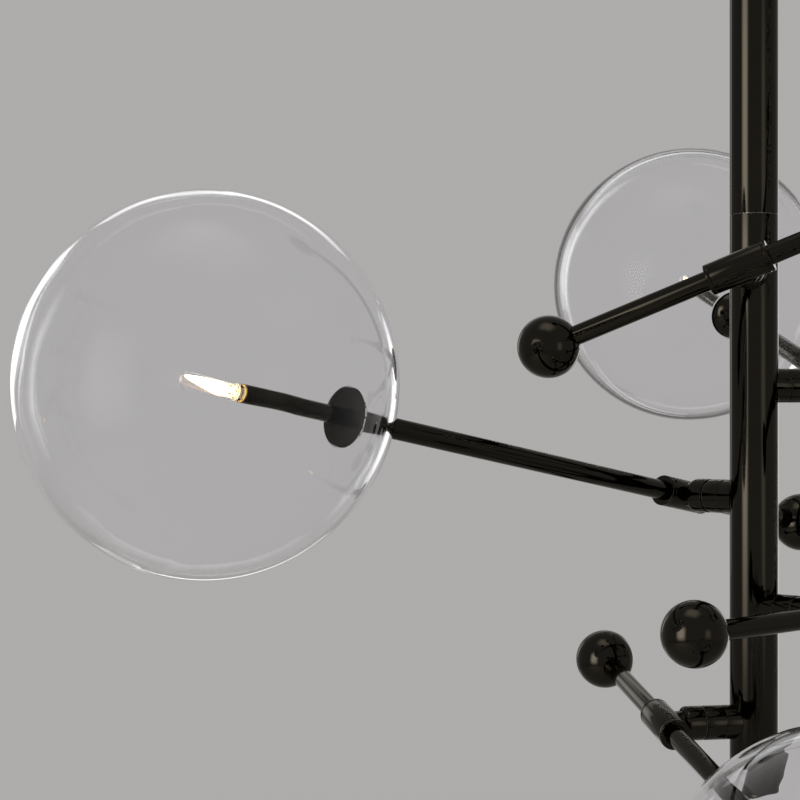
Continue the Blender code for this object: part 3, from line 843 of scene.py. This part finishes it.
class CHANDELIER_OT_lamps(bpy.types.Operator):
    """Add the holders, lamp tubes, sockets and bulbs"""
    bl_idname = "chandelier.lamps"
    bl_label = "Lamps"

    def execute(self, context):
        size = sizes()
        holder = self.holder(size)
        bore = size.tube_radius - LAMP_TUBE_WALL
        tube_top = -24 * MM
        tube_bottom = 2 * CLEARANCE - size.rod_end
        collar_bottom = -23.9 * MM
        lamp_tube = tube(size.tube_radius, bore, tube_top, tube_bottom, sides=48, easing=0.2 * MM)
        collar = tube(size.tube_radius, bore, SOCKET_TOP, collar_bottom, sides=48, easing=0.25 * MM)
        socket = self.socket(size)
        bulb = self.bulb(size)
        lit = (
            (self.core(size), "lit_core"),
            (self.board(size), "lit_board"),
            (self.chips(size), "amber_chip"),
        )
        for arm in RODS:
            place = globe_centre(arm) @ ALONG_X
            show(f"{arm}_dome", holder.copy(), "black_nickel", arm,
                 place, f"{arm}_globe_holder")
            show(f"{arm}_thin_tube", lamp_tube.copy(), "black_nickel", arm,
                 place, f"{arm}_lamp_tube")
            show(f"{arm}_collar", collar.copy(), "bright_brass", arm, place)
            show(f"{arm}_insert", socket.copy(), "steatite", arm,
                 place, f"{arm}_lamp_socket")
            show(f"{arm}_capsule", bulb.copy(), "capsule_glass", arm,
                 place, f"{arm}_bulb")
            for mesh, finish in lit:
                show(f"{arm}_{finish}", mesh.copy(), finish, arm, place)
        return {"FINISHED"}

    def holder(self, size):
        """The dome: flat to the bulb, round to the rod."""
        radius = size.holder_radius
        depth = size.holder_depth
        edge = 1.9 * MM
        chamfer = 0.3 * edge
        groove = 0.35 * MM
        ring = 0.62 * radius
        face = -size.holder_distance
        bore = size.tube_radius + CLEARANCE
        socket = size.rod_radius + CLEARANCE
        floor = CLEARANCE - size.rod_end
        first = math.acos(-edge / depth)
        last = HALF - math.asin(socket / radius)
        outline = [(bore, face), (ring, face), (ring + groove, face - groove), (ring + 2 * groove, face)]
        outline += [(radius - edge, face), (radius - chamfer, face - chamfer)]
        outline += arc(face, radius, depth, first, last, rings=28)
        outline += [(socket, floor), (bore, floor)]
        outline = eased(outline, easing=0.25 * MM, is_ring=True, cuts=2)
        return turned(outline, stage_settings().sides, is_ring=True)

    def socket(self, size):
        """The insert in the tube's end, with a hole for the bulb's base."""
        radius = size.tube_radius - LAMP_TUBE_WALL - CLEARANCE
        hole = 3.1 * MM
        floor = -31 * MM
        bottom = -38 * MM
        outline = [(0, floor), (hole, floor), (hole, SOCKET_TOP)]
        outline += [(radius, SOCKET_TOP), (radius, bottom), (0, bottom)]
        return turned(eased(outline, easing=0.2 * MM), sides=36)

    def bulb(self, size):
        """A thin glass capsule with a round tip, on a flat base."""
        radius = size.bulb_radius
        wall = 0.6 * MM
        tip = 17 * MM - radius
        shoulder = -22.7 * MM
        easing = 1.5 * MM
        base_radius = 2.8 * MM
        base_bottom = shoulder - 8 * MM
        outline = arc(tip, radius, radius, 0, QUARTER, rings=14)
        rounding = arc(shoulder + easing, easing, easing, QUARTER, HALF, rings=6)
        outline += [(radius - easing + r, z) for r, z in rounding]
        outline += [(base_radius, shoulder), (base_radius, base_bottom), (0, base_bottom)]
        capsule = turned(outline, sides=48)
        inner = radius - wall
        hollow_low = shoulder + 5 * MM
        hollow_depth = 3 * MM
        hollow = arc(tip, inner, inner, 0, QUARTER, rings=12)
        hollow += arc(hollow_low, inner, hollow_depth, QUARTER, HALF, rings=8)
        return cut(capsule, turned(hollow, sides=48))

    def core(self, size):
        """The glowing core inside the capsule: wide at the board, its narrow tip drawn to one side."""
        top = 15.4 * MM
        bottom = -11.6 * MM
        outline = [(0, top)]
        for height, share in ((14, 0.2), (9, 0.38), (3, 0.58), (-3, 0.74), (-8, 0.82), (-11, 0.82)):
            outline.append((share * size.bulb_radius, height * MM))
        outline.append((0, bottom))
        core = turned(eased(outline, easing=1.4 * MM), sides=32)
        lean_start = -8 * MM
        lean_height = 24 * MM
        lean = 0.46 * size.bulb_radius
        for vertex in core.vertices:
            rise = max(0, vertex.co.z - lean_start) / lean_height
            vertex.co.x -= rise * lean
        return core

    def board(self, size):
        """The round board at the capsule's base."""
        radius = 0.8 * size.bulb_radius
        top = -11.9 * MM
        bottom = -19.8 * MM
        outline = [(0, top), (radius, top), (radius, bottom), (0, bottom)]
        return turned(eased(outline, easing=0.8 * MM), sides=32)

    def chips(self, size):
        """Small chips in two rings on the board."""
        distance = 0.8 * size.bulb_radius
        chips = None
        for ring, height in enumerate((-13.6 * MM, -17.2 * MM)):
            for step in range(6):
                chip = block(0.5 * MM, 0.7 * MM, 1.2 * MM, edge=0.1 * MM)
                chip.transform(Matrix.Translation((distance, 0, height)))
                chip.transform(Matrix.Rotation(math.radians(60 * step + 30 * ring), 4, "Z"))
                chips = joined(chips, chip) if chips else chip
        return chips


class CHANDELIER_OT_globes(bpy.types.Operator):
    """Add the blown glass globes"""
    bl_idname = "chandelier.globes"
    bl_label = "Globes"

    def execute(self, context):
        for index, arm in enumerate(RODS):
            place = globe_centre(arm) @ ALONG_X
            shell = self.globe(sizes(), index)
            show(f"{arm}_blown_globe", shell, "blown_glass", arm, place, f"{arm}_globe")
        return {"FINISHED"}

    def globe(self, size, index):
        """A shell with a ground mouth, its inside waved a little as in glass blown by hand."""
        mouth = size.holder_radius + CLEARANCE
        far_inside = size.globe_along - size.globe_far_wall
        mouth_inside = size.globe_mouth_wall - size.globe_along
        inside_along = (far_inside - mouth_inside) / 2
        inside_centre = (far_inside + mouth_inside) / 2
        inside_across = size.globe_across - size.globe_side_wall
        outer_mouth = HALF - math.asin(mouth / size.globe_across)
        inner_mouth = HALF - math.asin(mouth / inside_across)
        outline = arc(0, size.globe_across, size.globe_along, 0, outer_mouth, rings=72)
        outline += arc(inside_centre, inside_across, inside_along, inner_mouth, 0, rings=72)
        shell = turned(outline, sides=144)
        self.ripple(shell, size, index)
        return shell

    def ripple(self, shell, size, index):
        """Wave the inner surface, apart from the glass close to the mouth."""
        inner_limit = size.globe_along - size.globe_side_wall / 2
        still = 4 * MM
        slow, quick = 17, 43
        quick_share = 0.4
        inward = 0.6
        seed = Vector((index * 3.1, index * 1.7, 0))
        for vertex in shell.vertices:
            here = vertex.co
            distance = here.length
            from_mouth = here.xy.length - size.holder_radius
            if distance >= inner_limit or from_mouth < still and here.z < 0:
                continue
            wave = noise.noise(here * slow + seed) + quick_share * noise.noise(here * quick + seed)
            vertex.co = here * (1 - size.globe_ripple * (inward + wave) / distance)


class CHANDELIER_OT_stage(bpy.types.Operator):
    """Add the floor, the light all round, the soft lamps and the camera"""
    bl_idname = "chandelier.stage"
    bl_label = "Stage"

    def execute(self, context):
        settings = stage_settings()
        self.floor(settings)
        self.world(settings)
        warm = (1.0, 0.97, 0.91)
        cool = (0.97, 0.98, 1.0)
        self.soft_lamp("window_left", (-2.1, -1.6, -0.45), (1.9, 2.6), power=98, tint=warm, rim=0)
        self.soft_lamp("window_right", (1.7, -2.4, -0.5), (1.4, 2.0), power=8.5, tint=warm, rim=0)
        self.soft_lamp("overhead", (-0.3, -0.4, 1.3), (2.0, 1.6), power=17, tint=warm, rim=0)
        self.soft_lamp("behind_left", (-3.85, 5.75, 0.5), (1.25, 3.2), power=20, tint=cool, rim=0.5)
        self.soft_lamp("behind_right", (1.15, 2.4, -0.68), (0.62, 1.9), power=8, tint=cool, rim=0.3)
        self.soft_lamp("behind_above", (-0.4, 5.1, 2.2), (4.5, 0.75), power=9, tint=cool, rim=0.6)
        self.soft_lamp("behind_below", (-0.5, 2.0, -1.5), (1.5, 0.16), power=0.7, tint=cool, rim=0.5)
        self.camera(settings)
        context.scene.view_settings.view_transform = "Standard"
        return {"FINISHED"}

    def floor(self, settings):
        """A round floor that fades into the background at its rim."""
        mesh = bpy.data.meshes.new("floor")
        count = 96
        radius = settings.floor_radius
        fade_start = 0.35 * radius
        turns = [math.radians(360) * step / count for step in range(count)]
        corners = [(radius * math.cos(turn), radius * math.sin(turn), 0) for turn in turns]
        mesh.from_pydata(corners, [], [range(count)])
        floor = bpy.data.objects.new("floor", mesh)
        floor.location.z = -settings.floor_depth
        shader = Shader("painted_floor")
        shader.set(Base_Color=(*settings.floor, 1), Roughness=0.85)
        shader.bump(shader.object_noise(scale=60, detail=5), distance=0.4 * MM, strength=0.1)
        coordinates = shader.node("ShaderNodeTexCoord")
        distance = shader.node("ShaderNodeVectorMath")
        distance.operation = "LENGTH"
        fade = shader.node("ShaderNodeMapRange")
        fade.interpolation_type = "SMOOTHSTEP"
        fade.inputs["From Min"].default_value = fade_start
        fade.inputs["From Max"].default_value = radius
        clear = shader.node("ShaderNodeBsdfTransparent")
        mix = shader.node("ShaderNodeMixShader")
        shader.link(coordinates.outputs["Object"], distance.inputs[0])
        shader.link(distance.outputs["Value"], fade.inputs["Value"])
        shader.link(fade.outputs["Result"], mix.inputs["Fac"])
        shader.link(shader.surface.outputs["BSDF"], mix.inputs[1])
        shader.link(clear.outputs["BSDF"], mix.inputs[2])
        shader.link(mix.outputs["Shader"], shader.output.inputs["Surface"])
        mesh.materials.append(shader.material)
        bpy.context.scene.collection.objects.link(floor)

    def world(self, settings):
        world = bpy.data.worlds.new("light_tent")
        bpy.context.scene.world = world
        world.use_nodes = True
        background = world.node_tree.nodes["Background"]
        background.inputs["Color"].default_value = (*settings.surround, 1)
        background.inputs["Strength"].default_value = 1

    def soft_lamp(self, name, place, extent, power, tint, rim):
        """An area light that faces the chandelier's middle and fades to the share rim at its edges."""
        lamp = bpy.data.lights.new(name, "AREA")
        lamp.shape = "RECTANGLE"
        lamp.size, lamp.size_y = extent
        lamp.energy = power
        lamp.color = tint
        lamp.use_nodes = True
        tree = lamp.node_tree
        geometry = tree.nodes.new("ShaderNodeNewGeometry")
        split = tree.nodes.new("ShaderNodeSeparateXYZ")
        tree.links.new(geometry.outputs["Parametric"], split.inputs["Vector"])
        # Along each side the light rises from both edges and is steady before the middle
        fades = []
        for axis in ("X", "Y"):
            rise = tree.nodes.new("ShaderNodeMath")
            rise.operation = "PINGPONG"
            rise.inputs[1].default_value = 0.5
            fade = tree.nodes.new("ShaderNodeMapRange")
            fade.interpolation_type = "SMOOTHSTEP"
            fade.inputs["From Max"].default_value = 0.4
            fade.inputs["To Min"].default_value = rim
            tree.links.new(split.outputs[axis], rise.inputs[0])
            tree.links.new(rise.outputs["Value"], fade.inputs["Value"])
            fades.append(fade.outputs["Result"])
        both = tree.nodes.new("ShaderNodeMath")
        both.operation = "MULTIPLY"
        for fade, target in zip(fades, both.inputs):
            tree.links.new(fade, target)
        tree.links.new(both.outputs["Value"], tree.nodes["Emission"].inputs["Strength"])
        light = bpy.data.objects.new(name, lamp)
        light.location = place
        light.visible_camera = False
        # Only the lamps behind the chandelier show through the glass; the others show as reflections
        light.visible_transmission = place[1] > 0
        middle = Vector((0, 0, -0.55))
        light.rotation_euler = (middle - Vector(place)).to_track_quat("-Z", "Y").to_euler()
        bpy.context.scene.collection.objects.link(light)

    def camera(self, settings):
        """The camera that looks at the chandelier as in the picture."""
        lens = bpy.data.cameras.new("photo_view")
        lens.lens = settings.focal_length
        lens.sensor_width = 36
        lens.shift_y = settings.frame_shift
        lens.dof.use_dof = False
        camera = bpy.data.objects.new("photo_view", lens)
        camera.location = settings.camera_place
        camera.rotation_euler = (QUARTER, 0, 0)
        bpy.context.scene.collection.objects.link(camera)
        bpy.context.scene.camera = camera


OPERATORS = (
    CHANDELIER_OT_ceiling,
    CHANDELIER_OT_column,
    CHANDELIER_OT_stubs,
    CHANDELIER_OT_sleeves,
    CHANDELIER_OT_rods,
    CHANDELIER_OT_lamps,
    CHANDELIER_OT_globes,
    CHANDELIER_OT_stage,
)


class CHANDELIER_PT_panel(bpy.types.Panel):
    """Buttons and sizes of the chandelier"""
    bl_idname = "CHANDELIER_PT_panel"
    bl_label = "Globe Chandelier"
    bl_space_type = "VIEW_3D"
    bl_region_type = "UI"
    bl_category = "Chandelier"

    def draw(self, context):
        for operator in OPERATORS:
            self.layout.operator(operator.bl_idname)
        scene = context.scene
        for group in (scene.chandelier_sizes, scene.chandelier_finishes, scene.chandelier_stage):
            box = self.layout.box()
            for name in group.bl_rna.properties.keys():
                if name not in ("rna_type", "name"):
                    box.prop(group, name)


CLASSES = (ChandelierSizes, ChandelierFinishes, ChandelierStage, *OPERATORS, CHANDELIER_PT_panel)


def register():
    for cls in CLASSES:
        bpy.utils.register_class(cls)
    bpy.types.Scene.chandelier_sizes = PointerProperty(type=ChandelierSizes)
    bpy.types.Scene.chandelier_finishes = PointerProperty(type=ChandelierFinishes)
    bpy.types.Scene.chandelier_stage = PointerProperty(type=ChandelierStage)


def unregister():
    del bpy.types.Scene.chandelier_stage
    del bpy.types.Scene.chandelier_finishes
    del bpy.types.Scene.chandelier_sizes
    for cls in reversed(CLASSES):
        bpy.utils.unregister_class(cls)


def main():
    register()
    bpy.ops.chandelier.ceiling()
    bpy.ops.chandelier.column()
    bpy.ops.chandelier.stubs()
    bpy.ops.chandelier.sleeves()
    bpy.ops.chandelier.rods()
    bpy.ops.chandelier.lamps()
    bpy.ops.chandelier.globes()
    bpy.ops.chandelier.stage()


if __name__ == "__main__":
    main()
